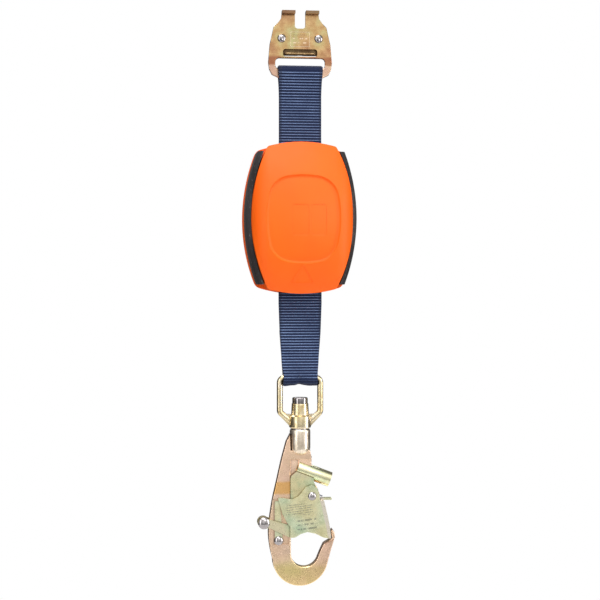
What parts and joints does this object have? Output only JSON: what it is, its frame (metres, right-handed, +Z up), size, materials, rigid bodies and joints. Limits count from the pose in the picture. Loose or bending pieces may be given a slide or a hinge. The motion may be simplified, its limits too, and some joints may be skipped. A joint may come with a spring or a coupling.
{
  "type": "self retracting lifeline",
  "caption": "Self retracting lifeline with a slotted top connector, webbing strap, spring drum housing with a brake, flat lifeline web and a swivelling double-action snap hook.",
  "frame": {"origin": "centre of the seat of the top connector's U-shaped slot, mid thickness of its plate", "axes": "+Z up along the hanging lifeline, out of the slot's mouth; +X to the right of the front face; the front face looks along -Y"},
  "size_m": [0.116, 0.0833, 0.5928],
  "materials": {
    "plated_steel": "yellow zinc plated, satin",
    "forged_steel": "yellow zinc plated forging",
    "gate_steel": "pale yellow zinc plated sheet",
    "rivet_steel": "polished",
    "frame_steel": "clear zinc plated",
    "spring_steel": "blued strip",
    "brake_lining": "matte friction compound",
    "orange_shell": "satin moulded nylon",
    "bumper_rubber": "matte moulded rubber",
    "black_plastic": "satin moulded",
    "drum_plastic": "glass filled nylon",
    "navy_web": "ribbed polyester webbing",
    "black_web": "woven wear sleeve",
    "bronze": "sintered"
  },
  "bodies": {
    "connector": {"connector_plate": "plated_steel", "connector_backplate": "plated_steel", "connector_rivets": "rivet_steel"},
    "strap": {"anchor_strap": "navy_web"},
    "housing": {"front_cover": "orange_shell", "rear_cover": "orange_shell", "cover_screws": "frame_steel", "left_bumper": "bumper_rubber", "right_bumper": "bumper_rubber", "strap_guide": "black_plastic", "line_guide": "black_plastic", "left_frame_plate": "frame_steel", "right_frame_plate": "frame_steel", "frame_spacers": "frame_steel", "anchor_pin": "frame_steel", "anchor_sleeve": "black_plastic", "shaft_bushes": "bronze", "roller_pins": "frame_steel", "spring_cup": "frame_steel", "spring_cover": "frame_steel", "recoil_spring": "spring_steel", "ratchet_ring": "frame_steel", "friction_discs": "brake_lining", "pressure_plate": "frame_steel", "brake_bolts": "frame_steel", "brake_springs": "spring_steel"},
    "drum": {"drum": "drum_plastic", "drum_flange": "drum_plastic", "web_retaining_pin": "frame_steel", "drum_shaft": "frame_steel", "wound_webbing": "navy_web", "spring_arbor": "frame_steel", "pawl_plate": "frame_steel", "pawl_pins": "frame_steel", "pawl_springs": "spring_steel"},
    "upper_pawl": {"upper_pawl": "frame_steel"},
    "lower_pawl": {"lower_pawl": "frame_steel"},
    "front_roller": {"front_roller": "black_plastic"},
    "rear_roller": {"rear_roller": "black_plastic"},
    "lifeline": {"lifeline_webbing": "navy_web", "wear_sleeve": "black_web"},
    "eye": {"swivel_eye": "forged_steel"},
    "hook": {"swivel_pin": "rivet_steel", "swivel_washer": "frame_steel", "hook_body": "forged_steel", "gate_rivet": "rivet_steel", "catch_rivet": "rivet_steel"},
    "gate": {"gate": "gate_steel", "gate_spring": "spring_steel"},
    "lever": {"lock_lever": "gate_steel", "lever_pin": "rivet_steel"},
    "catch": {"catch": "gate_steel"}
  },
  "joints": [
    {"name": "strap_swing", "type": "hinge", "parent": "connector", "child": "strap", "pos_m": [0, 0, -0.0515], "axis": [1, 0, 0], "range_deg": [-60, 60]},
    {"name": "housing_swing", "type": "hinge", "parent": "strap", "child": "housing", "pos_m": [0, 0, -0.144], "axis": [1, 0, 0], "range_deg": [-12, 12]},
    {"name": "lifeline_payout", "type": "slide", "parent": "housing", "child": "lifeline", "axis": [0, 0, -1], "range_m": [0, 1.7], "stiffness_N_per_m": 12, "springref_m": -1.2, "deforming": ["lifeline_webbing", "recoil_spring"]},
    {"name": "drum_spin", "type": "hinge", "parent": "housing", "child": "drum", "pos_m": [0, 0, -0.202], "axis": [1, 0, 0], "range_deg": [-4081, 0.5]},
    {"name": "upper_pawl_swing", "type": "hinge", "parent": "drum", "child": "upper_pawl", "pos_m": [0, 0, -0.187], "axis": [1, 0, 0], "range_deg": [0, 12.6], "stiffness_Nm_per_rad": 0.02, "springref_deg": -11.46},
    {"name": "lower_pawl_swing", "type": "hinge", "parent": "drum", "child": "lower_pawl", "pos_m": [0, 0, -0.217], "axis": [1, 0, 0], "range_deg": [0, 12.8]},
    {"name": "front_roller_spin", "type": "hinge", "parent": "housing", "child": "front_roller", "pos_m": [0, -0.0062, -0.262], "axis": [1, 0, 0], "range_deg": [-24400, 1]},
    {"name": "rear_roller_spin", "type": "hinge", "parent": "housing", "child": "rear_roller", "pos_m": [0, 0.0046, -0.262], "axis": [1, 0, 0], "range_deg": [-1, 24400]},
    {"name": "eye_tilt", "type": "hinge", "parent": "lifeline", "child": "eye", "pos_m": [0, 0, -0.3664], "axis": [1, 0, 0], "range_deg": [-60, 60]},
    {"name": "hook_swivel", "type": "hinge", "parent": "eye", "child": "hook", "pos_m": [0, 0, -0.42], "axis": [0, 0, 1], "continuous": true},
    {"name": "gate_swing", "type": "hinge", "parent": "hook", "child": "gate", "pos_m": [0.0116, 0, -0.4879], "axis": [0, 1, 0], "range_deg": [0, 25], "stiffness_Nm_per_rad": 0.3, "springref_deg": -20.05},
    {"name": "lever_press", "type": "hinge", "parent": "gate", "child": "lever", "pos_m": [0.0116, 0, -0.4879], "axis": [0, 1, 0], "range_deg": [0, 8], "stiffness_Nm_per_rad": 0.3, "springref_deg": -20.05},
    {"name": "catch_swing", "type": "hinge", "parent": "hook", "child": "catch", "pos_m": [-0.0226, 0, -0.5337], "axis": [0, 1, 0], "range_deg": [0, 4], "stiffness_Nm_per_rad": 0.1, "springref_deg": -20.05}
  ],
  "couplings": [
    {"joint": "drum_spin", "follows": "lifeline_payout", "rad_per_m": -41.888},
    {"joint": "front_roller_spin", "follows": "lifeline_payout", "rad_per_m": -250},
    {"joint": "rear_roller_spin", "follows": "lifeline_payout", "rad_per_m": 250},
    {"joint": "lower_pawl_swing", "follows": "upper_pawl_swing", "ratio": 1}
  ]
}
